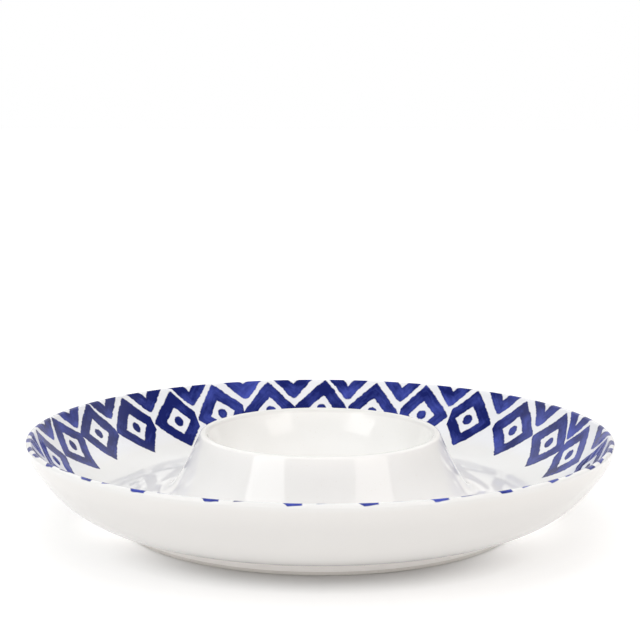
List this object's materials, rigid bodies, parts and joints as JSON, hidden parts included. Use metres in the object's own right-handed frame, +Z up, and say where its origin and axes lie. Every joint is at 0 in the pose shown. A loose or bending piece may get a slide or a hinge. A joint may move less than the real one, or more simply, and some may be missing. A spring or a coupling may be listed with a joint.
{
  "type": "chip and dip server",
  "caption": "Round footed stoneware serving bowl for chips, with a raised flaring dip well in its middle and a patterned band inside the rim.",
  "frame": {"origin": "centre of the foot ring's resting circle, on the surface that the server stands on", "axes": "+Z up the axis of the bowl; the bowl is round, so +X and +Y are free"},
  "size_m": [0.32, 0.32, 0.049],
  "materials": {
    "clay": "fired stoneware, bare and matt where the foot rests",
    "white_glaze": "glossy white glaze"
  },
  "bodies": {
    "root": {"chip_bowl": "clay", "dip_collar": "clay", "dip_cup": "clay", "foot_ring": "clay", "glaze_coat": "white_glaze", "underside_glaze": "white_glaze"}
  },
  "joints": []
}
